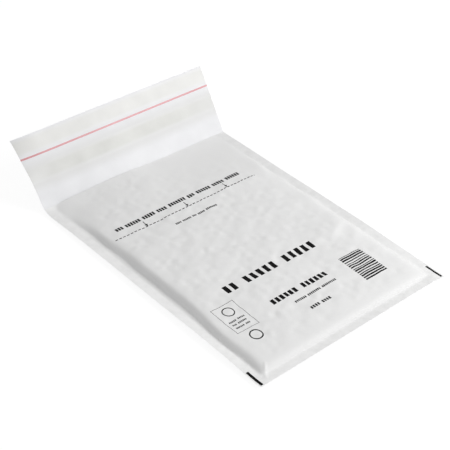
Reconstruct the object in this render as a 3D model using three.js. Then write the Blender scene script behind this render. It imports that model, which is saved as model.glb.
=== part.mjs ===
// Padded return envelope, empty, lying on its back with the flap at its mouth raised.
// Two white paper sheets are welded along both sides and the bottom. Each is lined with bubble
// film, and the longer back sheet runs on past the mouth as the flap, with a tear strip and two
// adhesive bands under peel strips. The layers are slabs moulded over one bent surface.
// Millimetres, +Z up. The origin is on the resting face under the middle of the pouch, with +X
// across the width and +Y from the bottom seam to the mouth.

import * as THREE from 'three';

const { clamp, degToRad, lerp, smoothstep } = THREE.MathUtils;

// Cut sizes of the sheets, and their welded seams.
const WIDTH = 200;
const POUCH_LENGTH = 270;
const FLAP_LENGTH = 65;
const SEAM_WIDTH = 10;
const PAPER_THICKNESS = 0.2;
const LAYER_CLEARANCE = 0.3;

// Padded form: the face rises from the seams and the back bulges below them, both round at the edge.
const FACE_RISE = 5;
const FACE_SHOULDER = 12;
const BELLY_DROP = 2;
const BELLY_SHOULDER = 9;

// Towards the open mouth the pad thins, and its side shoulders grow wider and softer.
const MOUTH_RUN = 45;
const MOUTH_RISE = 3.6;
const MOUTH_SHOULDER = 24;

// Bubble linings: the slit between them, and how far they stop short of the seams and the mouth.
const POUCH_SLIT = 0.5;
const LINING_INSET = 2;
const LINING_SETBACK = 1;

// Raised flap: its fold is a soft bend, rounder and less raised at the left end.
const FLAP_ANGLE_LEFT = degToRad(48.5);
const FLAP_ANGLE_RIGHT = degToRad(57.5);
const BEND_RADIUS_LEFT = 26;
const BEND_RADIUS_RIGHT = 7;

// Bands across the flap, in order from its free edge to the fold.
const EDGE_MARGIN = 1;
const FIRST_PEEL_WIDTH = 15.5;
const FIRST_PEEL_TO_TEAR = 1.3;
const TEAR_STRIP_WIDTH = 2;
const TEAR_TO_SECOND_PEEL = 7.2;
const SECOND_PEEL_WIDTH = 15;
const ADHESIVE_MARGIN = 2;
const TEAR_STRIP_THICKNESS = 0.2;
const ADHESIVE_THICKNESS = 0.2;
const PEEL_THICKNESS = 0.2;
const BAND_CLEARANCE = 0.15;

// Moulding grid: even steps in each stretch, and shares of a shoulder where its upper lines lie.
const FACE_COLUMNS = 10;
const FACE_ROWS = 8;
const MOUTH_ROWS = 5;
const HALF_BEND_ROWS = 4;
const BAND_ROWS = 2;
const SHOULDER_LOW_SHARE = 0.25;
const SHOULDER_HIGH_SHARE = 0.55;

// The seams lie at the height that puts the underside of the belly on the floor.
const SEAM_LEVEL = BELLY_DROP + PAPER_THICKNESS + LAYER_CLEARANCE / 2;
const POUCH_HALF = WIDTH / 2 - SEAM_WIDTH;
const SHEET_LENGTH = POUCH_LENGTH + FLAP_LENGTH;

// Angle and radius of the fold at one place across the width.
function foldAt(x) {
  const share = x / WIDTH + 0.5;
  const angle = lerp(FLAP_ANGLE_LEFT, FLAP_ANGLE_RIGHT, share);
  const radius = lerp(BEND_RADIUS_LEFT, BEND_RADIUS_RIGHT, share);
  return { angle, radius, length: angle * radius };
}

// Point at a height over the seam surface: flat, then an arc centred on the mouth, then straight.
// The distance is measured along the back sheet from the bottom edge.
function pointOver(x, distance, height) {
  const fold = foldAt(x);
  const past = distance - (POUCH_LENGTH - fold.length / 2);
  const turn = clamp(past / fold.radius, 0, fold.angle);
  const straight = past - turn * fold.radius;
  const y = (POUCH_LENGTH - fold.length) / 2 + fold.radius * Math.sin(turn) + straight * Math.cos(turn);
  const z = SEAM_LEVEL + fold.radius * (1 - Math.cos(turn)) + straight * Math.sin(turn);
  return [x, y - height * Math.sin(turn), z + height * Math.cos(turn)];
}

// Quarter ellipse from 0 at a seam to 1 at the end of its shoulder.
function roundedEdge(inward, shoulder) {
  const left = 1 - clamp(inward / shoulder, 0, 1);
  return Math.sqrt(1 - left * left);
}

function nearMouth(distance) {
  return smoothstep(distance, POUCH_LENGTH - MOUTH_RUN, POUCH_LENGTH);
}

// Rise of the front sheet over the seams, which falls off towards the mouth.
function faceRise(x, distance) {
  const near = nearMouth(distance);
  const side = roundedEdge(POUCH_HALF - Math.abs(x), lerp(FACE_SHOULDER, MOUTH_SHOULDER, near));
  const bottom = roundedEdge(distance - SEAM_WIDTH, FACE_SHOULDER);
  return lerp(FACE_RISE, MOUTH_RISE, near) * side * bottom;
}

// Drop of the back sheet under the seams, which is gone at the mouth.
function bellyDrop(x, distance) {
  const side = roundedEdge(POUCH_HALF - Math.abs(x), BELLY_SHOULDER);
  const bottom = roundedEdge(distance - SEAM_WIDTH, BELLY_SHOULDER);
  return BELLY_DROP * (1 - nearMouth(distance)) * side * bottom;
}

const frontInside = (x, distance) => LAYER_CLEARANCE / 2 + faceRise(x, distance);
const backInside = (x, distance) => -LAYER_CLEARANCE / 2 - bellyDrop(x, distance);
const pouchMiddle = (x, distance) => (frontInside(x, distance) + backInside(x, distance)) / 2;

function evenSteps(from, to, count) {
  return Array.from({ length: count + 1 }, (_, i) => lerp(from, to, i / count));
}

// Places from a seam over its shoulder, closer together where the form is steep.
const SHOULDER_PLACES = [
  0,
  LINING_INSET / 4,
  LINING_INSET,
  lerp(LINING_INSET, FACE_SHOULDER, SHOULDER_LOW_SHARE),
  lerp(LINING_INSET, FACE_SHOULDER, SHOULDER_HIGH_SHARE),
  FACE_SHOULDER,
];

// Grid lines across the width, from the left edge to the right.
function linesAcross() {
  const face = evenSteps(FACE_SHOULDER - POUCH_HALF, POUCH_HALF - FACE_SHOULDER, FACE_COLUMNS);
  const leftShoulder = SHOULDER_PLACES.map((place) => place - POUCH_HALF);
  const rightShoulder = SHOULDER_PLACES.map((place) => POUCH_HALF - place).reverse();
  return [-WIDTH / 2, ...leftShoulder, ...face.slice(1, -1), ...rightShoulder, WIDTH / 2];
}

// Bands across the flap as [start, end], measured from the bottom edge like every distance.
const FIRST_PEEL = [SHEET_LENGTH - EDGE_MARGIN - FIRST_PEEL_WIDTH, SHEET_LENGTH - EDGE_MARGIN];
const TEAR_END = FIRST_PEEL[0] - FIRST_PEEL_TO_TEAR;
const TEAR = [TEAR_END - TEAR_STRIP_WIDTH, TEAR_END];
const SECOND_PEEL_END = TEAR[0] - TEAR_TO_SECOND_PEEL;
const SECOND_PEEL = [SECOND_PEEL_END - SECOND_PEEL_WIDTH, SECOND_PEEL_END];
const adhesiveUnder = ([start, end]) => [start + ADHESIVE_MARGIN, end - ADHESIVE_MARGIN];

// Grid lines along the pouch, from the bottom edge to the mouth, and on over the flap.
const BEND_REACH = Math.max(foldAt(-WIDTH / 2).length, foldAt(WIDTH / 2).length) / 2;

function linesAlongPouch() {
  const shoulder = SHOULDER_PLACES.map((place) => SEAM_WIDTH + place);
  const face = evenSteps(SEAM_WIDTH + FACE_SHOULDER, POUCH_LENGTH - MOUTH_RUN, FACE_ROWS);
  const mouth = evenSteps(POUCH_LENGTH - MOUTH_RUN, POUCH_LENGTH - BEND_REACH, MOUTH_ROWS);
  const bend = evenSteps(POUCH_LENGTH - BEND_REACH, POUCH_LENGTH, HALF_BEND_ROWS);
  return [0, ...shoulder, ...face.slice(1), ...mouth.slice(1), ...bend.slice(1)];
}

function linesAlongFlap() {
  const bend = evenSteps(POUCH_LENGTH, POUCH_LENGTH + BEND_REACH, HALF_BEND_ROWS).slice(1);
  const bands = [SECOND_PEEL, TEAR, FIRST_PEEL].flatMap((band) => evenSteps(...band, BAND_ROWS));
  return [...bend, ...bands, SHEET_LENGTH];
}

const ACROSS = linesAcross();
const ALONG_POUCH = linesAlongPouch();

// Closed slab between two heights over the seam surface, with its corners on the given grid lines.
function mouldedLayer(name, material, across, along, lower, upper) {
  const columns = across.length - 1;
  const rows = along.length - 1;
  const geometry = new THREE.BoxGeometry(columns, rows, 1, columns, rows, 1);
  const corners = geometry.attributes.position;
  for (let i = 0; i < corners.count; i += 1) {
    const x = across[Math.round(corners.getX(i) + columns / 2)];
    const distance = along[Math.round(corners.getY(i) + rows / 2)];
    const height = corners.getZ(i) > 0 ? upper : lower;
    corners.setXYZ(i, ...pointOver(x, distance, height(x, distance)));
  }
  geometry.computeVertexNormals();
  const mesh = new THREE.Mesh(geometry, material);
  mesh.name = name;
  return mesh;
}

// Paper sheets: the front ends at the mouth, the back goes on as the flap.
const paper = new THREE.MeshStandardMaterial({ color: 0xf3f3f1, roughness: 0.7, metalness: 0 });

function frontSheet() {
  const outside = (x, distance) => frontInside(x, distance) + PAPER_THICKNESS;
  return mouldedLayer('front_sheet', paper.clone(), ACROSS, ALONG_POUCH, frontInside, outside);
}

function backSheet() {
  const outside = (x, distance) => backInside(x, distance) - PAPER_THICKNESS;
  const along = [...ALONG_POUCH, ...linesAlongFlap()];
  return mouldedLayer('back_sheet', paper.clone(), ACROSS, along, outside, backInside);
}

// Bubble linings fill the space between the sheets, apart from the slit that takes the contents.
const bubbleFilm = new THREE.MeshStandardMaterial({ color: 0xe8edf0, roughness: 0.25, metalness: 0 });

function liningLines() {
  const side = POUCH_HALF - LINING_INSET;
  const bottom = SEAM_WIDTH + LINING_INSET;
  const top = POUCH_LENGTH - LINING_SETBACK;
  const between = (lines, from, to) => [from, ...lines.filter((line) => line > from && line < to), to];
  return [between(ACROSS, -side, side), between(ALONG_POUCH, bottom, top)];
}

function frontLining() {
  const lower = (x, distance) => pouchMiddle(x, distance) + POUCH_SLIT / 2;
  const upper = (x, distance) => frontInside(x, distance) - LAYER_CLEARANCE;
  return mouldedLayer('front_bubble_lining', bubbleFilm.clone(), ...liningLines(), lower, upper);
}

function backLining() {
  const lower = (x, distance) => backInside(x, distance) + LAYER_CLEARANCE;
  const upper = (x, distance) => pouchMiddle(x, distance) - POUCH_SLIT / 2;
  return mouldedLayer('back_bubble_lining', bubbleFilm.clone(), ...liningLines(), lower, upper);
}

// Bands laid across the flap: a thin slab on top of what lies under it.
function flapBand(name, material, band, floor, thickness) {
  const lower = () => floor + BAND_CLEARANCE;
  const upper = () => floor + BAND_CLEARANCE + thickness;
  return mouldedLayer(name, material, ACROSS, evenSteps(...band, BAND_ROWS), lower, upper);
}

const FLAP_FACE = -LAYER_CLEARANCE / 2;
const ADHESIVE_FACE = FLAP_FACE + BAND_CLEARANCE + ADHESIVE_THICKNESS;

const hotMelt = new THREE.MeshStandardMaterial({ color: 0xeee6cf, roughness: 0.35, metalness: 0 });
const releasePaper = new THREE.MeshStandardMaterial({ color: 0xefeee9, roughness: 0.4, metalness: 0 });
const tearFilm = new THREE.MeshStandardMaterial({ color: 0xd7959b, roughness: 0.4, metalness: 0 });

function tearStrip() {
  return flapBand('tear_strip', tearFilm, TEAR, FLAP_FACE, TEAR_STRIP_THICKNESS);
}

// A seal is an adhesive band on the flap, and the wider peel strip that covers it.
function seal(order, band) {
  const glue = adhesiveUnder(band);
  const group = new THREE.Group();
  group.add(flapBand(`${order}_adhesive_band`, hotMelt.clone(), glue, FLAP_FACE, ADHESIVE_THICKNESS));
  group.add(flapBand(`${order}_peel_strip`, releasePaper.clone(), band, ADHESIVE_FACE, PEEL_THICKNESS));
  return group;
}

const envelope = new THREE.Group();
envelope.add(backSheet(), backLining(), frontLining(), frontSheet());
envelope.add(tearStrip(), seal('first', FIRST_PEEL), seal('second', SECOND_PEEL));

export default envelope;
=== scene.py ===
import math

import bpy
import numpy as np
from mathutils import Matrix, Vector


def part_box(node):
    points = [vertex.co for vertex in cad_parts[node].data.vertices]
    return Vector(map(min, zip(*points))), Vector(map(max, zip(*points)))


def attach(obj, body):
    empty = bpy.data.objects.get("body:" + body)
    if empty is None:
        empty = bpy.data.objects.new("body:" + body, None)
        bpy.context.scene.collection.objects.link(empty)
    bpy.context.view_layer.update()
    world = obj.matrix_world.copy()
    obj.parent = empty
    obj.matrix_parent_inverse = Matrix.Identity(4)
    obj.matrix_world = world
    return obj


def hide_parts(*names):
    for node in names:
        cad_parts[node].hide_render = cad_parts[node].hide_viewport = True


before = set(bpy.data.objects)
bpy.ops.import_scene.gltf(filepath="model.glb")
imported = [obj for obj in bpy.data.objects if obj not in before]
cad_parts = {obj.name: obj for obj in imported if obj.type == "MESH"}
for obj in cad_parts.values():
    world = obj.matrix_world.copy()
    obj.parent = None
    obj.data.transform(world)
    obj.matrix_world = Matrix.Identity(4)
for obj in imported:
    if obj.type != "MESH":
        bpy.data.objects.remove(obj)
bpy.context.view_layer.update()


# Back sheet: one long piece of white bleached paper. It closes the pouch from below, its belly
# rests on the table, and its free end is the closing flap, which springs up on a soft fold.
# It is welded to the front sheet along the two sides and the bottom.
front_low, front_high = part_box("front_sheet")
pouch_width = front_high[0] - front_low[0]
pouch_length = -2 * front_low[1]
half_width = pouch_width / 2
flap_length = 0.065
sheet_length = pouch_length + flap_length
seam_width = 0.009
bottom_seam = 0.0076
pad_half = half_width - seam_width
seam_level = 0.00235
paper = 0.00009
layer_gap = 0.00002
belly_drop = 0.00225
belly_shoulder = 0.009
mouth_run = 0.075
flap_angles = (math.radians(48.5), math.radians(57.45))
fold_radii = (0.026, 0.0015)


def smooth_step(value, low, high):
    """Cubic ease from 0 at low to 1 at high."""
    share = np.clip((value - low) / (high - low), 0, 1)
    return share * share * (3 - 2 * share)


def rise_and_fall(value, start, full, leave, end):
    """Cubic ease from 0 at start to 1 at full, and from 1 at leave back to 0 at end."""
    return smooth_step(value, start, full) * (1 - smooth_step(value, leave, end))


def bell(value, middle, spread):
    """Bell curve, 1 in the middle: e to the minus square of the distance over the spread."""
    return np.exp(-(((value - middle) / spread) ** 2))


def waves(across, along, length, seed):
    """A quarter of the sum of a dozen plane waves, about -1 to 1.

    Their directions, lengths and phases are drawn from the seed.
    """
    count = 12
    draw = np.random.default_rng(seed)
    turn = draw.uniform(0, 2 * math.pi, count)
    rate = 2 * math.pi / (length * draw.uniform(0.7, 1.4, count))
    phase = draw.uniform(0, 2 * math.pi, count)
    steps = across[..., None] * rate * np.cos(turn) + along[..., None] * rate * np.sin(turn)
    return np.sin(steps + phase).sum(axis=-1) / 4


def seam_surface(across, along, height):
    """Seam plane that bends up at the fold, then leaves as a straight flap.

    Along is measured on the paper from the bottom edge. Past the fold's start the paper turns round
    an arc and then goes on straight. The angle changes evenly from the left side to the right; so
    does the radius, but for the left edge, where it is far wider. Height is square to the paper.
    """
    even_share = 0.28
    edge_power = 16
    share = across / pouch_width + 0.5
    angle = flap_angles[0] + (flap_angles[1] - flap_angles[0]) * share
    widening = even_share * (1 - share) + (1 - even_share) * (1 - share) ** edge_power
    radius = fold_radii[1] + (fold_radii[0] - fold_radii[1]) * widening
    fold = angle * radius
    past = along - (pouch_length - fold / 2)
    turn = np.clip(past / radius, 0, angle)
    straight = past - turn * radius
    y = (pouch_length - fold) / 2 + radius * np.sin(turn) + straight * np.cos(turn)
    z = seam_level + radius * (1 - np.cos(turn)) + straight * np.sin(turn)
    return np.stack([across, y - height * np.sin(turn), z + height * np.cos(turn)], axis=-1)


def rounded_edge(inward, shoulder):
    """Quarter ellipse that rises from 0 at the pad's edge to 1 one shoulder width inside it."""
    return np.sqrt(np.clip(1 - (1 - np.clip(inward / shoulder, 0, 1)) ** 2, 0, 1))


def near_mouth(along):
    """0 over the pouch, easing to 1 at the mouth, where the padding flattens."""
    return smooth_step(along, pouch_length - mouth_run, pouch_length)


def belly(across, along):
    """Depth of the padded back: a flat-bottomed tray with rounded sides that runs out at the mouth."""
    sides = rounded_edge(pad_half - np.abs(across), belly_shoulder)
    end = rounded_edge(along - bottom_seam, belly_shoulder)
    return belly_drop * (1 - near_mouth(along)) * sides * end


def mouth_height(across):
    """Height of the mouth's front edge: low at both ends, with two rises added in the left half.

    One is broad and falls slowly to the right. In the other the mouth is sprung open.
    """
    end_height = 0.0004
    broad_rise = 0.0020
    sprung_rise = 0.0029
    broad = rise_and_fall(across, -0.094, -0.072, -0.020, 0.070)
    sprung = rise_and_fall(across, -0.080, -0.040, -0.020, 0.020)
    return end_height + broad_rise * broad + sprung_rise * sprung


def flap_press(across, along):
    """How far the flap's foot is drawn in to rest on the mouth's edge.

    A share of the mouth's height, less at the left end and nothing at the flap's far edge.
    """
    share = 0.85
    past = along - pouch_length
    foot = smooth_step(past, -0.010, 0.001) * (1 - np.clip(past / flap_length, 0, 1))
    return share * mouth_height(across) * foot * smooth_step(across, -0.108, -0.070)


def seam_set(across, along):
    """How the welded edges have taken a set: slow waves and a turn up or down that grow outwards.

    The left edge is turned up, most of all a quarter of the way along it. The right one is turned up
    less, and falls to the bottom corner. The bottom edge is turned up a little except at that corner.
    """
    wave_height = 0.00020
    left_rise = 0.0014
    left_crest = 0.0009
    right_rise = 0.0005
    corner_fall = 0.0018
    bottom_rise = 0.0006
    outward = np.clip((np.abs(across) - pad_half) / seam_width, 0, 1)
    waving = wave_height * waves(across, along, 0.055, 31)
    left = left_rise * rise_and_fall(along, 0, 0.045, 0.200, 0.270)
    left = left + left_crest * bell(along, 0.065, 0.040)
    right = right_rise - corner_fall * (1 - smooth_step(along, -0.010, 0.100))
    ending = 1 - smooth_step(along, pouch_length - 0.025, pouch_length + 0.010)
    at_bottom = np.clip(1 - along / bottom_seam, 0, 1)
    turned = bottom_rise * (1 - smooth_step(across, 0.084, 0.100)) * at_bottom
    return outward * ending * (waving + np.where(across < 0, left, right)) + turned


def flap_sway(across, along):
    """Set of the free flap, square to it: slow waves and fine ripples that grow from the fold.

    The ripples are drawn out from the fold to the free edge. The left edge curls inwards near the fold,
    and its free corner curls back.
    """
    wave_height = 0.0005
    ripple_height = 0.00016
    ripple_stretch = 0.4
    edge_curl = 0.0022
    corner_curl = 0.0038
    past = np.clip(along - pouch_length, 0, None) / flap_length
    side = np.clip((-0.055 - across) / 0.045, 0, 1) ** 2
    corner = np.clip((-0.079 - across) / 0.021, 0, 1) ** 2
    bulge = edge_curl * rise_and_fall(past, 0, 0.2, 0.35, 0.75)
    curl = bulge * side - corner_curl * past ** 3 * corner
    ripples = ripple_height * waves(across, ripple_stretch * along, 0.020, 12)
    return past * (wave_height * waves(across, along, 0.070, 11) + ripples) + curl


def paper_thickness(across, along, length):
    """Thickness of a paper sheet: full, but pressed thin where it is cut, close to its edges."""
    cut_share = 0.2
    pressed_run = 0.003
    inward = np.minimum(half_width - np.abs(across), np.minimum(along, length - along))
    return paper * (cut_share + (1 - cut_share) * smooth_step(inward, 0, pressed_run))


def grid_lines(stops, steps):
    """Grid positions through the given stops, each span cut into about equal steps of the given size."""
    spans = [
        np.linspace(low, high, max(2, round((high - low) / step) + 1))[:-1]
        for low, high, step in zip(stops[:-1], stops[1:], steps)
    ]
    return np.concatenate([*spans, stops[-1:]])


def lines_across(shoulder_run, weld_step, shoulder_step, face_step):
    """Grid positions from side to side, closest on the shoulders of the padding beside the welds."""
    face_half = pad_half - shoulder_run
    return grid_lines(
        [-half_width, -pad_half, -face_half, face_half, pad_half, half_width],
        [weld_step, shoulder_step, face_step, shoulder_step, weld_step],
    )


def closed_sheet(name, lower, upper, across, along):
    """Closed sheet from two grids of points, rows by columns, joined round their edges by a flat rim.

    A float attribute, face_side, is 1 on the upper grid, and the UV map gives each point's place
    on the flat sheet in metres.
    """
    rows, columns = across.shape
    count = rows * columns
    number = np.arange(count).reshape(rows, columns)
    corners = (number[:-1, :-1], number[:-1, 1:], number[1:, 1:], number[1:, :-1])
    quads = np.stack(corners, axis=-1).reshape(-1, 4)
    border = np.concatenate([number[0], number[1:, -1], number[-1, -2::-1], number[-2:0:-1, 0]])
    ahead = np.roll(border, -1)
    rim = np.stack([border, ahead, ahead + count, border + count], axis=-1)
    faces = np.concatenate([quads[:, ::-1], quads + count, rim]).astype(np.int32)
    points = np.concatenate([lower.reshape(-1, 3), upper.reshape(-1, 3)])
    mesh = bpy.data.meshes.new(name)
    mesh.vertices.add(len(points))
    mesh.vertices.foreach_set("co", points.astype(np.float32).ravel())
    mesh.loops.add(faces.size)
    mesh.loops.foreach_set("vertex_index", faces.ravel())
    mesh.polygons.add(len(faces))
    mesh.polygons.foreach_set("loop_start", np.arange(0, faces.size, 4, dtype=np.int32))
    mesh.polygons.foreach_set("use_smooth", np.ones(len(faces), dtype=bool))
    mesh.update(calc_edges=True)
    mesh.set_sharp_from_angle(angle=math.radians(60))
    side = mesh.attributes.new("face_side", "FLOAT", "POINT")
    side.data.foreach_set("value", np.repeat([0.0, 1.0], count).astype(np.float32))
    flat = np.tile(np.stack([across, along], axis=-1).reshape(-1, 2), (2, 1))
    layout = mesh.uv_layers.new(name="flat_sheet")
    layout.data.foreach_set("uv", flat[faces.ravel()].astype(np.float32).ravel())
    mesh.validate()
    piece = bpy.data.objects.new(name, mesh)
    bpy.context.scene.collection.objects.link(piece)
    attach(piece, "root")
    return piece


def add_node(tree, kind, inputs=(), **settings):
    """One shader node with its properties set and its inputs linked or filled, by name or number."""
    made = tree.nodes.new(kind)
    for name, value in settings.items():
        setattr(made, name, value)
    for key, value in dict(inputs).items():
        if isinstance(value, bpy.types.NodeSocket):
            tree.links.new(value, made.inputs[key])
        else:
            made.inputs[key].default_value = value
    return made


def mix_colour(tree, share, first, second):
    """Colour that goes from the first to the second as the share goes from 0 to 1.

    The Mix node takes its colours at sockets 6 and 7, and gives the result at 2.
    """
    inputs = {0: share, 6: first, 7: second}
    return add_node(tree, "ShaderNodeMix", inputs, data_type="RGBA").outputs[2]


def clouded_finish(name, pale, dark, roughness, scale, detail):
    """Material in two close shades, mixed in soft clouds by noise.

    Returns the material, its tree, its shader and the cloud colour's socket.
    """
    finish = bpy.data.materials.new(name)
    finish.use_nodes = True
    tree = finish.node_tree
    shader = tree.nodes["Principled BSDF"]
    shader.inputs["Roughness"].default_value = roughness
    place = add_node(tree, "ShaderNodeTexCoord").outputs["Object"]
    cloud = add_node(tree, "ShaderNodeTexNoise", {"Vector": place, "Scale": scale, "Detail": detail})
    colour = mix_colour(tree, cloud.outputs["Fac"], pale, dark)
    tree.links.new(colour, shader.inputs["Base Color"])
    return finish, tree, shader, colour


def paper_finish(name, pale, dark, roughness, specular=0.25):
    """Uncoated paper: two close shades in soft clouds, and a fine felted fibre in the bump.

    Returns the material, its tree, its shader and the cloud colour's socket.
    """
    finish, tree, shader, colour = clouded_finish(name, pale, dark, roughness, scale=55.0, detail=3.0)
    shader.inputs["Specular IOR Level"].default_value = specular
    place = add_node(tree, "ShaderNodeTexCoord").outputs["Object"]
    fibre = add_node(tree, "ShaderNodeTexNoise", {"Vector": place, "Scale": 1400.0, "Detail": 4.0})
    felt = {"Height": fibre.outputs["Fac"], "Strength": 0.18, "Distance": 0.00012}
    bump = add_node(tree, "ShaderNodeBump", felt)
    tree.links.new(bump.outputs["Normal"], shader.inputs["Normal"])
    return finish, tree, shader, colour


shoulder_run = 0.010
weld_step = 0.0017
shoulder_step = 0.0008
fold_step = 0.0009
flap_step = 0.0013
fold_start = pouch_length - 0.030
fold_end = pouch_length + 0.020
across_lines = lines_across(shoulder_run, weld_step, shoulder_step, face_step=0.0014)
along_lines = grid_lines(
    [0, seam_width, seam_width + shoulder_run, fold_start, fold_end, sheet_length],
    [weld_step, shoulder_step, 0.0016, fold_step, flap_step],
)
across, along = np.meshgrid(across_lines, along_lines)
inside_height = flap_sway(across, along) + seam_set(across, along) + flap_press(across, along)
inside_height = inside_height - layer_gap / 2 - belly(across, along)
back_sheet = closed_sheet(
    "back_paper",
    seam_surface(across, along, inside_height - paper_thickness(across, along, sheet_length)),
    seam_surface(across, along, inside_height),
    across,
    along,
)
back_shades = ((0.922, 0.924, 0.942, 1), (0.812, 0.814, 0.828, 1))
back_finish, back_tree, back_shader, back_colour = paper_finish(
    "back_paper_white", *back_shades, roughness=0.62
)
back_sheet.data.materials.append(back_finish)
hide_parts("back_sheet")


# Bubble linings: two layers of clear polyethylene bubble film, one stuck inside each sheet.
# Their flat sides face each other across the empty pouch and their bubbles press into the paper.
lining_inset = 0.002
lining_setback = 0.004
lining_half = pad_half - lining_inset
lining_start = bottom_seam + lining_inset
lining_end = pouch_length - lining_setback
bubble_pitch = 0.011
face_rise = 0.005


def shoulder(inward, toe):
    """Rise of a padded edge: level at the weld, steepest one toe inside it, then easing to 1.

    With the distance in toes, it is 1 less the distance plus 1 times e to the minus distance.
    """
    steps = np.clip(inward, 0, None) / toe
    return 1 - (1 + steps) * np.exp(-steps)


def two_shoulders(inward, steep, steep_toe, broad_toe):
    """Rise of a softer edge: a share of a steep shoulder, and the rest of a broad one."""
    return steep * shoulder(inward, steep_toe) + (1 - steep) * shoulder(inward, broad_toe)


def face_swell(across, along):
    """Height of the padded front over the seam: a cushion that is steep at the left, full at the right.

    The product of three shoulders, for the left side, the right side and the bottom. The right and
    the bottom ones are each a steep edge and a broad slope, and the left one starts further in along
    its middle. A low crest stands along the middle of the left side, with a lip and a small dent at
    its mouth end. Towards the mouth the left shoulder is longer, the right one is steeper, and the
    height goes over to the mouth's edge.
    """
    crest_height = 0.0010
    lip_height = 0.0011
    dent_depth = 0.0006
    left_out = 0.0008
    left_in = 0.0040
    left_return = 0.0038
    left_toe = 0.00130
    right_out = 0.0009
    right_steep = 0.54
    near = near_mouth(along)
    low_end = 1 - smooth_step(along, 0.080, 0.150)
    uneven = 0.0005 * waves(across, along, 0.040, 41)
    crest = rise_and_fall(along, 0.060, 0.110, 0.155, 0.205)
    crest = crest_height * crest * (1 - smooth_step(across, -0.078, -0.030))
    lip = lip_height * smooth_step(along, 0.250, 0.270) * (1 - smooth_step(across, -0.080, -0.050))
    rise = face_rise + crest + lip + (mouth_height(across) - face_rise) * near
    weld_in = left_in * smooth_step(along, 0.015, 0.120) - left_return * smooth_step(along, 0.200, 0.262)
    to_left = across + pad_half - (weld_in - left_out) + uneven
    slack = 0.0005 * smooth_step(along, 0.200, 0.240) + 0.0003 * smooth_step(along, 0.235, 0.266)
    left = shoulder(to_left, left_toe + 0.0002 * waves(across, along, 0.06, 42) + slack)
    to_right = pad_half - across + right_out + uneven + 0.0004 * waves(across, along, 0.028, 43)
    steep = right_steep + 0.22 * low_end + 0.20 * near + 0.08 * waves(across, along, 0.030, 44)
    steep_toe = 0.0018 + 0.0010 * low_end
    broad_toe = 0.009 + 0.003 * low_end
    right = two_shoulders(to_right, steep, steep_toe, broad_toe)
    to_bottom = along - bottom_seam + 0.5 * uneven
    bottom = two_shoulders(to_bottom, steep=0.66, steep_toe=0.0011, broad_toe=0.0055)
    dent = dent_depth * bell(across, -0.082, 0.009) * bell(along, 0.250, 0.010)
    return rise * left * right * bottom - dent


def bubbles(across, along):
    """Bubble rows: the sum of three cosines 60 degrees apart, scaled to 1 on bubbles and 0 between."""
    step = 4 * math.pi / (math.sqrt(3) * bubble_pitch)
    rows = np.cos(step * across)
    rows = rows + np.cos(step * (across / 2 + along * math.sqrt(3) / 2))
    rows = rows + np.cos(step * (across / 2 - along * math.sqrt(3) / 2))
    return (rows + 1.5) / 4.5


def pouch_layer(across, along, share, lift=0.0):
    """Surface inside the pouch, from 0 at the back sheet to 1 at the front sheet, measured straight up.

    The front sheet is the padded face where that is above the back sheet's bent seam surface, and lies
    on the seam elsewhere; a soft maximum rounds the change near the mouth. Lift is added to it.
    """
    mouth_rounding = 0.0006
    seam = seam_set(across, along) + flap_press(across, along)
    back = seam_surface(across, along, seam - belly(across, along) - layer_gap / 2)
    weld = seam_surface(across, along, seam + layer_gap / 2)[..., 2]
    padded = seam_level + face_swell(across, along) + np.minimum(seam, 0)
    rounding = mouth_rounding * near_mouth(along)
    front = (weld + padded + np.sqrt((weld - padded) ** 2 + rounding ** 2)) / 2 + lift
    front = np.maximum(front, weld)
    level = back[..., 2] + share * (front - back[..., 2])
    return np.stack([back[..., 0], back[..., 1], level], axis=-1)


film_step = 0.0012
lining_across = grid_lines([-lining_half, lining_half], [film_step])
lining_along = grid_lines([lining_start, lining_end], [film_step])
across, along = np.meshgrid(lining_across, lining_along)
dome = smooth_step(bubbles(across, along), 0.05, 0.75)
front_flat, front_web, front_bubble = (0.53, 0.64, 0.21)
back_flat, back_web, back_bubble = (0.47, 0.32, 0.26)
front_lining = closed_sheet(
    "front_bubble_film",
    pouch_layer(across, along, front_flat),
    pouch_layer(across, along, front_web + front_bubble * dome),
    across,
    along,
)
back_lining = closed_sheet(
    "back_bubble_film",
    pouch_layer(across, along, back_web - back_bubble * dome),
    pouch_layer(across, along, back_flat),
    across,
    along,
)
film_shades = ((0.80, 0.84, 0.86, 1), (0.88, 0.90, 0.91, 1))
film_finish, *_ = clouded_finish(
    "bubble_film_clear", *film_shades, roughness=0.28, scale=120.0, detail=3.0
)
for lining, node in ((front_lining, "front_bubble_lining"), (back_lining, "back_bubble_lining")):
    lining.data.materials.append(film_finish)
    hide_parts(node)


# Front sheet: the printed white paper face, welded to the back along three sides and open at the
# mouth. It is drawn over the bubble film, so the bubbles show as soft dimples in hexagonal rows.
shoulder_run = 0.014
weld_step = 0.0013
shoulder_step = 0.0006
mouth_step = 0.0010
lip_start = pouch_length - 0.020
across_lines = lines_across(shoulder_run, weld_step, shoulder_step, face_step=0.0011)
along_lines = grid_lines(
    [0, bottom_seam, bottom_seam + shoulder_run, lip_start, pouch_length],
    [weld_step, shoulder_step, 0.00125, mouth_step],
)
across, along = np.meshgrid(across_lines, along_lines)


def crease(across, along, start, end, width, lee):
    """Straight ridge with a bell-shaped section, 1 at its crown, that dies away towards both its ends.

    Its slope is longer by the lee factor on the right of the line from start to end.
    """
    taper = 0.7
    run = (end[0] - start[0], end[1] - start[1])
    length = math.hypot(*run)
    ahead = ((across - start[0]) * run[0] + (along - start[1]) * run[1]) / length
    aside = ((across - start[0]) * run[1] - (along - start[1]) * run[0]) / length
    share = np.clip(ahead / length, 0, 1)
    spread = width * np.where(aside > 0, lee, 1)
    return bell(aside, 0, spread) * np.sin(math.pi * share) ** taper


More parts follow.
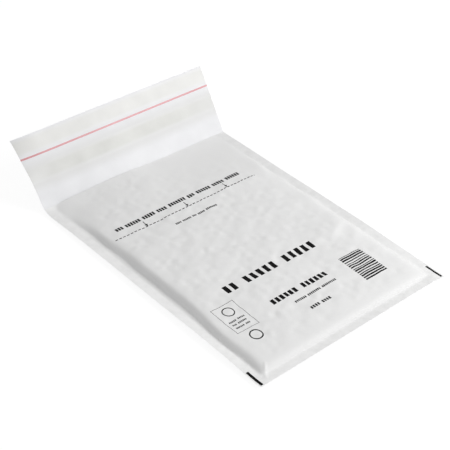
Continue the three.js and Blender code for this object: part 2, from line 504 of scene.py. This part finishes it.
def paper_relief(across, along):
    """Dips of the paper between bubbles, uneven from place to place, with lumps, slow swags and creases.

    The creases are two rays from the right-hand seam, short tucks down the same side, and a sharp fold
    where the bottom left corner is pinched.
    """
    dip_depth = 0.00028
    wander = 0.0016
    swag_height = 0.00036
    sunk = 0.0002
    pinch_height = 0.0006
    mouth_calm = 0.7
    firm = np.clip(face_swell(across, along) / face_rise, 0, 1)
    inner = smooth_step(pad_half - np.abs(across), 0.003, 0.020)
    inner = inner * smooth_step(along - bottom_seam, 0.003, 0.018) * firm ** 2
    inner = inner * (1 - mouth_calm * smooth_step(along, pouch_length - 0.030, pouch_length))
    drift = wander * waves(across, along, 0.026, 21)
    side = wander * waves(across, along, 0.028, 22)
    strength = dip_depth * np.clip(1 + 0.9 * waves(across, along, 0.024, 23), 0.1, 2.2)
    dips = strength * (bubbles(across + drift, along + side) - 1)
    lumps = 0.0
    for height, length, seed in ((0.00005, 0.0065, 27), (0.00015, 0.0115, 26), (0.00020, 0.021, 24)):
        lumps = lumps + height * waves(across, along, length, seed)
    swags = swag_height * waves(across, along, 0.055, 25)
    rays = 0.0
    for height, start, end, width, lee in (
        (0.0021, (0.092, 0.106), (0.055, 0.087), 0.0056, 2.4),
        (0.0008, (0.089, 0.091), (0.066, 0.070), 0.0052, 1.6),
        (0.0005, (0.090, 0.126), (0.072, 0.120), 0.0040, 2.0),
        (0.0005, (0.090, 0.055), (0.076, 0.049), 0.0040, 2.0),
        (0.0005, (0.090, 0.039), (0.078, 0.031), 0.0040, 2.0),
    ):
        rays = rays + height * crease(across, along, start, end, width, lee)
    pinch = pinch_height * crease(across, along, (-0.0822, 0.0155), (-0.0915, 0.0036), 0.0011, 1.2)
    return inner * (dips + lumps + swags - sunk) + firm * rays + pinch


relief = paper_relief(across, along)
front_sheet = closed_sheet(
    "front_paper",
    pouch_layer(across, along, 1.0, relief),
    pouch_layer(across, along, 1.0, relief + paper_thickness(across, along, pouch_length)),
    across,
    along,
)
front_shades = ((0.865, 0.865, 0.862, 1), (0.835, 0.835, 0.832, 1))
front_finish, tree, shader, front_colour = paper_finish(
    "front_paper_white", *front_shades, roughness=0.58, specular=0.12
)
front_sheet.data.materials.append(front_finish)


def math_node(tree, operation, first, second=0.0, third=0.0):
    """One Math node's result."""
    inputs = {0: first, 1: second, 2: third}
    return add_node(tree, "ShaderNodeMath", inputs, operation=operation).outputs[0]


def stripe(tree, position, low, high):
    """1 where the position is between two places, else 0."""
    return math_node(tree, "COMPARE", position, (low + high) / 2, (high - low) / 2)


def panel(tree, x, y, left, right, low, high):
    """Filled upright rectangle: 1 where both positions are between their two places, else 0."""
    inside = stripe(tree, x, left, right)
    return math_node(tree, "MULTIPLY", inside, stripe(tree, y, low, high))


def outline(tree, x, y, left, right, low, high, line):
    """Rectangle drawn as a thin line: the rectangle less a smaller one inside it."""
    outer = panel(tree, x, y, left, right, low, high)
    inner = panel(tree, x, y, left + line, right - line, low + line, high - line)
    return math_node(tree, "SUBTRACT", outer, inner)


def ring(tree, x, y, across, along, radius, line):
    """Circle drawn as a thin line: the distance from its centre is near its radius."""
    aside = math_node(tree, "SUBTRACT", x, across)
    ahead = math_node(tree, "SUBTRACT", y, along)
    square = math_node(tree, "MULTIPLY_ADD", aside, aside, math_node(tree, "MULTIPLY", ahead, ahead))
    return stripe(tree, math_node(tree, "SQRT", square), radius - line / 2, radius + line / 2)


def block_row(tree, x, y, left, low, high, pitch, width, groups):
    """Row of plain upright blocks in groups, one pitch apart, with one block left out between groups.

    The blocks repeat along the row, and a ramp of steps keeps those that belong to a group.
    """
    count = sum(groups) + len(groups) - 1
    place = math_node(tree, "SUBTRACT", x, left)
    block = math_node(tree, "FLOORED_MODULO", place, pitch)
    block = math_node(tree, "LESS_THAN", block, width)
    block = math_node(tree, "MULTIPLY", block, stripe(tree, y, low, high))
    block = math_node(tree, "MULTIPLY", block, stripe(tree, place, 0, count * pitch))
    share = math_node(tree, "DIVIDE", place, count * pitch)
    ramp = add_node(tree, "ShaderNodeValToRGB", {"Fac": share})
    steps = ramp.color_ramp
    steps.interpolation = "CONSTANT"
    steps.elements.remove(steps.elements[1])
    steps.elements[0].position = 0
    steps.elements[0].color = (1, 1, 1, 1)
    end = -(1 - width / pitch) / 2
    for size in groups[:-1]:
        end += size
        steps.elements.new(end / count).color = (0, 0, 0, 1)
        end += 1
        steps.elements.new(end / count).color = (1, 1, 1, 1)
    return math_node(tree, "MULTIPLY", block, ramp.outputs["Color"])


# The print is plain black shapes on the outer side: a dashed line with arrows above it, a field of
# bars, two marks at the bottom edge, a thin frame, two rings and rows of blocks.
place = add_node(tree, "ShaderNodeTexCoord").outputs["Object"]
x, y = add_node(tree, "ShaderNodeSeparateXYZ", {0: place}).outputs[:2]

dash_pitch = 0.0039
dash_length = 0.0026
line_left = -0.0815
dash_line = panel(tree, x, y, line_left, 0.0715, 0.0597, 0.0606)
dash = math_node(tree, "SUBTRACT", x, line_left)
dash = math_node(tree, "FLOORED_MODULO", dash, dash_pitch)
dash = math_node(tree, "LESS_THAN", dash, dash_length)
dash = math_node(tree, "MULTIPLY", dash, dash_line)

arrow_pitch = 0.0437
arrow_middle = -0.0043
arrow_tip = 0.0602
head_top = 0.0630
head_flare = 0.55
stem_low = 0.0625
stem_top = 0.0672
stem_half = 0.00035
arrows_left = -0.070
arrows_right = 0.0625
aside = math_node(tree, "SUBTRACT", x, arrow_middle - arrow_pitch / 2)
aside = math_node(tree, "FLOORED_MODULO", aside, arrow_pitch)
aside = math_node(tree, "ABSOLUTE", math_node(tree, "SUBTRACT", aside, arrow_pitch / 2))
head = math_node(tree, "MULTIPLY", math_node(tree, "SUBTRACT", y, arrow_tip), head_flare)
head = math_node(tree, "LESS_THAN", aside, head)
head = math_node(tree, "MULTIPLY", head, stripe(tree, y, arrow_tip, head_top))
stem = math_node(tree, "LESS_THAN", aside, stem_half)
stem = math_node(tree, "MULTIPLY", stem, stripe(tree, y, stem_low, stem_top))
arrows = math_node(tree, "MAXIMUM", head, stem)
arrows = math_node(tree, "MULTIPLY", arrows, stripe(tree, x, arrows_left, arrows_right))

bar_pitch = 0.0024
bar_least = 0.34
bar_spread = 0.40
bars = math_node(tree, "DIVIDE", y, bar_pitch)
bar_number = math_node(tree, "FLOOR", bars)
bar_width = add_node(tree, "ShaderNodeTexWhiteNoise", {"W": bar_number}, noise_dimensions="1D")
bar_width = math_node(tree, "MULTIPLY_ADD", bar_width.outputs["Value"], bar_spread, bar_least)
bar_panel = panel(tree, x, y, 0.0426, 0.0664, -0.1036, -0.0713)
bars = math_node(tree, "LESS_THAN", math_node(tree, "FRACT", bars), bar_width)
bars = math_node(tree, "MULTIPLY", bars, bar_panel)

edge_mark = stripe(tree, math_node(tree, "ABSOLUTE", x), 0.0964, 0.0988)
edge_mark = math_node(tree, "MULTIPLY", edge_mark, stripe(tree, y, -0.1340, -0.1175))
frame_line = outline(tree, x, y, -0.0787, -0.0568, -0.0863, -0.0547, line=0.00035)
upper_ring = ring(tree, x, y, -0.0677, -0.0630, radius=0.0048, line=0.0009)
lower_ring = ring(tree, x, y, -0.0680, -0.0950, radius=0.0050, line=0.0011)
drawn = [dash, arrows, bars, edge_mark, frame_line, upper_ring, lower_ring]
for left, low, high, pitch, width, groups in (
    (-0.0730, 0.0690, 0.0731, 0.00255, 0.0019, (3, 6, 5, 4, 7, 3, 6, 5, 6)),
    (-0.0287, 0.0462, 0.0482, 0.00150, 0.0011, (4, 6, 3, 5, 8)),
    (-0.0535, -0.0470, -0.0385, 0.00700, 0.0041, (2, 5, 5)),
    (-0.0350, -0.0790, -0.0735, 0.00460, 0.0032, (6, 6)),
    (-0.0200, -0.0880, -0.0858, 0.00170, 0.0012, (7, 8, 9)),
    (-0.0155, -0.1010, -0.0980, 0.00240, 0.0017, (4, 4)),
    (-0.0755, -0.0738, -0.0722, 0.00140, 0.0010, (5, 5)),
    (-0.0755, -0.0778, -0.0762, 0.00140, 0.0010, (3, 6)),
    (-0.0755, -0.0818, -0.0802, 0.00140, 0.0010, (6, 3)),
):
    drawn.append(block_row(tree, x, y, left, low, high, pitch, width, groups))
ink = drawn[0]
for mark in drawn[1:]:
    ink = math_node(tree, "MAXIMUM", ink, mark)
outside = add_node(tree, "ShaderNodeAttribute", attribute_name="face_side").outputs["Fac"]
ink = math_node(tree, "MULTIPLY", ink, math_node(tree, "GREATER_THAN", outside, 0.5))


def map_range(tree, value, low, high, top=1.0):
    """Straight ramp from 0 where the value is low to the top where it is high, and level outside."""
    inputs = {"Value": value, "From Min": low, "From Max": high, "To Max": top}
    return add_node(tree, "ShaderNodeMapRange", inputs).outputs[0]


# The welds are pressed into pale and grey patches. Towards the left they are painted paler: painted
# light.
side_weld = math_node(tree, "SUBTRACT", math_node(tree, "ABSOLUTE", x), pad_half)
bottom_weld = math_node(tree, "SUBTRACT", bottom_seam - pouch_length / 2, y)
weld = map_range(tree, math_node(tree, "MAXIMUM", side_weld, bottom_weld), -0.002, 0.001)
pressing_and_painted_light = add_node(tree, "ShaderNodeTexNoise", {"Vector": place, "Scale": 170.0, "Detail": 2.0})
# Painted light: paler towards the left, to lift the left weld out of the shadow that the pad casts on
# it.
left_painted_light = map_range(tree, x, 0.0, -0.085, top=0.36)
pressing_and_painted_light = math_node(tree, "SUBTRACT", pressing_and_painted_light.outputs["Fac"], left_painted_light)
weld_colour = mix_colour(tree, pressing_and_painted_light, (0.935, 0.935, 0.932, 1), (0.765, 0.765, 0.762, 1))
paper_colour = mix_colour(tree, weld, front_colour, weld_colour)
ink_black = (0.003, 0.003, 0.003, 1)
tree.links.new(mix_colour(tree, ink, paper_colour, ink_black), shader.inputs["Base Color"])
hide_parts("front_sheet")


# Closing seals on the flap's inside: each is a band of pressure-sensitive glue under a peel strip of
# release paper. The one nearer the free edge closes the envelope first; the other is for its return.
edge_margin = 0.001
first_width = 0.0155
second_width = 0.015
seal_gap = 0.0105
first_peel = (flap_length - edge_margin - first_width, flap_length - edge_margin)
second_peel = (first_peel[0] - (seal_gap + second_width), first_peel[0] - seal_gap)
glue_margin = 0.002
layer_thickness = 0.000016
band_gap = 0.000006
flap_face = -layer_gap / 2


def flap_band(name, reach, inset, base):
    """A flat strip across the flap: the flap's own bent surface between two distances from the mouth."""
    step = 0.0012
    lines = grid_lines([-half_width + inset, half_width - inset], [step])
    rows = grid_lines([pouch_length + reach[0] + inset, pouch_length + reach[1] - inset], [step])
    across, along = np.meshgrid(lines, rows)
    height = flap_sway(across, along) + flap_press(across, along) + base
    return closed_sheet(
        name,
        seam_surface(across, along, height),
        seam_surface(across, along, height + layer_thickness),
        across,
        along,
    )


def soft_band(tree, position, low, high, soft):
    """1 between two places, easing to 0 at each of them over the soft width."""
    sides = [
        add_node(
            tree,
            "ShaderNodeMapRange",
            {"Value": position, "From Min": start, "From Max": end},
            interpolation_type="SMOOTHSTEP",
        ).outputs[0]
        for start, end in ((low, low + soft), (high, high - soft))
    ]
    return math_node(tree, "MULTIPLY", *sides)


glue_base = flap_face + band_gap
peel_base = glue_base + layer_thickness + band_gap
glue_shades = ((0.82, 0.80, 0.72, 1), (0.88, 0.86, 0.80, 1))
glue_finish, *_ = clouded_finish("seal_glue_clear", *glue_shades, roughness=0.2, scale=160.0, detail=3.0)
first_shades = ((0.876, 0.874, 0.854, 1), (0.770, 0.768, 0.748, 1))
second_shades = ((0.816, 0.818, 0.794, 1), (0.656, 0.658, 0.630, 1))
plain_edge = (0.85, 0.85, 0.855, 1)
# Soft grey of the flap's paper round the second seal; also the second peel's edge colour.
greyed_paper = (0.792, 0.792, 0.788, 1)
for order, reach, shades, edge, end_fade in (
    ("first", first_peel, first_shades, plain_edge, 0.0),
    ("second", second_peel, second_shades, greyed_paper, 0.5),
):
    glue = flap_band(f"{order}_seal_glue", reach, glue_margin, glue_base)
    glue.data.materials.append(glue_finish)
    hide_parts(f"{order}_adhesive_band")
    peel = flap_band(f"{order}_peel_paper", reach, 0.0, peel_base)
    peel_finish, tree, shader, peel_colour = paper_finish(
        f"{order}_peel_release", *shades, roughness=0.4
    )
    place = add_node(tree, "ShaderNodeUVMap", uv_map="flat_sheet").outputs[0]
    x, y = add_node(tree, "ShaderNodeSeparateXYZ", {0: place}).outputs[:2]
    shown = soft_band(tree, y, pouch_length + reach[0], pouch_length + reach[1], soft=0.0040)
    middle = soft_band(tree, x, -half_width, half_width, soft=0.045)
    middle = math_node(tree, "MULTIPLY_ADD", middle, end_fade, 1 - end_fade)
    shown = math_node(tree, "MULTIPLY", shown, middle)
    tree.links.new(mix_colour(tree, shown, edge, peel_colour), shader.inputs["Base Color"])
    peel.data.materials.append(peel_finish)
    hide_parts(f"{order}_peel_strip")

# The flap's own paper is painted a soft grey in a band round the second seal, on its inner face.
grey_band_low = pouch_length + second_peel[0] - 0.010
grey_band_high = pouch_length + second_peel[1] + 0.008
place = add_node(back_tree, "ShaderNodeUVMap", uv_map="flat_sheet").outputs[0]
y = add_node(back_tree, "ShaderNodeSeparateXYZ", {0: place}).outputs[1]
grey_band = soft_band(back_tree, y, grey_band_low, grey_band_high, soft=0.010)
inside = add_node(back_tree, "ShaderNodeAttribute", attribute_name="face_side").outputs["Fac"]
grey_band = math_node(back_tree, "MULTIPLY", grey_band, inside)
banded_colour = mix_colour(back_tree, grey_band, back_colour, greyed_paper)
back_tree.links.new(banded_colour, back_shader.inputs["Base Color"])


# Tear strip: a narrow red plastic tape fixed across the flap between the two seals. Pulled from one
# end, it cuts the flap open along a straight line.
tear_width = 0.0016
tear_gap = 0.0016
tear_band = (first_peel[0] - (tear_gap + tear_width), first_peel[0] - tear_gap)
tear_strip = flap_band("tear_tape", tear_band, 0.0, flap_face + band_gap)
tear_shades = ((0.66, 0.27, 0.29, 1), (0.72, 0.36, 0.38, 1))
tear_finish, *_ = clouded_finish("tear_tape_red", *tear_shades, roughness=0.35, scale=90.0, detail=2.0)
tear_strip.data.materials.append(tear_finish)
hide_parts("tear_strip")


# Stage: a white table that shows pure white to the camera and keeps a faint shadow, a large soft lamp
# and a small near one to the right of the camera, and an even pale surround.
floor_half = 3.0
floor_mesh = bpy.data.meshes.new("table")
floor_mesh.from_pydata(
    [
        (-floor_half, -floor_half, 0),
        (floor_half, -floor_half, 0),
        (floor_half, floor_half, 0),
        (-floor_half, floor_half, 0),
    ],
    [],
    [(0, 1, 2, 3)],
)
table_top = bpy.data.objects.new("table", floor_mesh)
bpy.context.scene.collection.objects.link(table_top)
table_finish = bpy.data.materials.new("table_white")
table_finish.use_nodes = True
tree = table_finish.node_tree
shader = tree.nodes["Principled BSDF"]
shader.inputs["Base Color"].default_value = (0.85, 0.85, 0.85, 1)
shader.inputs["Roughness"].default_value = 0.9
shader.inputs["Specular IOR Level"].default_value = 0.0
rays = add_node(tree, "ShaderNodeLightPath").outputs
seen = math_node(tree, "MAXIMUM", rays["Is Camera Ray"], rays["Is Glossy Ray"])
seen = math_node(tree, "MAXIMUM", seen, rays["Is Transmission Ray"])
glow = add_node(tree, "ShaderNodeEmission", {"Color": (1, 1, 1, 1), "Strength": 0.9})
shadowed = add_node(tree, "ShaderNodeBsdfDiffuse", {"Color": (0.16, 0.16, 0.16, 1)})
white = add_node(tree, "ShaderNodeAddShader", {0: glow.outputs[0], 1: shadowed.outputs[0]})
blend = add_node(tree, "ShaderNodeMixShader", {0: seen, 1: shader.outputs[0], 2: white.outputs[0]})
tree.links.new(blend.outputs[0], tree.nodes["Material Output"].inputs["Surface"])
floor_mesh.materials.append(table_finish)

world = bpy.data.worlds.new("studio")
bpy.context.scene.world = world
world.use_nodes = True
tree = world.node_tree
surround = tree.nodes["Background"]
surround.inputs["Color"].default_value = (1, 1, 1, 1)
surround_strength = 0.51
rays = add_node(tree, "ShaderNodeLightPath").outputs
seen = math_node(tree, "MAXIMUM", rays["Is Camera Ray"], rays["Is Transmission Ray"])
level = math_node(tree, "MULTIPLY_ADD", seen, 1 - surround_strength, surround_strength)
tree.links.new(level, surround.inputs["Strength"])


def soft_lamp(name, direction, distance, size, energy):
    """Round soft lamp at a distance from the object's middle, turned towards it."""
    data = bpy.data.lights.new(name, "AREA")
    data.shape = "DISK"
    data.size = size
    data.energy = energy
    lamp = bpy.data.objects.new(name, data)
    bpy.context.scene.collection.objects.link(lamp)
    towards = Vector(direction).normalized()
    lamp.location = distance * towards
    lamp.rotation_euler = towards.to_track_quat("Z", "Y").to_euler()


soft_lamp("key_lamp", (0.579, -0.579, 0.574), distance=2.5, size=1.4, energy=22.0)
soft_lamp("near_lamp", (0.5, -0.5, 0.707), distance=0.6, size=0.33, energy=0.88)

azimuth = math.radians(-42.517)
elevation = math.radians(37.039)
roll = math.radians(2.232)
distance, shift_right, shift_up = (0.976371, -0.011725, 0.016273)
back = Vector(
    (
        math.sin(azimuth) * math.cos(elevation),
        -math.cos(azimuth) * math.cos(elevation),
        math.sin(elevation),
    )
)
level_right = Vector((0, 0, 1)).cross(back).normalized()
level_up = back.cross(level_right)
right = math.cos(roll) * level_right + math.sin(roll) * level_up
up = -math.sin(roll) * level_right + math.cos(roll) * level_up
camera_data = bpy.data.cameras.new("camera")
camera_data.sensor_width = 36.0
camera_data.lens = 94.854
camera_data.clip_start = 0.01
camera = bpy.data.objects.new("camera", camera_data)
bpy.context.scene.collection.objects.link(camera)
place = distance * back + shift_right * right + shift_up * up
camera.matrix_world = Matrix.Translation(place) @ Matrix((right, up, back)).transposed().to_4x4()
bpy.context.scene.camera = camera
bpy.context.scene.view_settings.view_transform = "Standard"
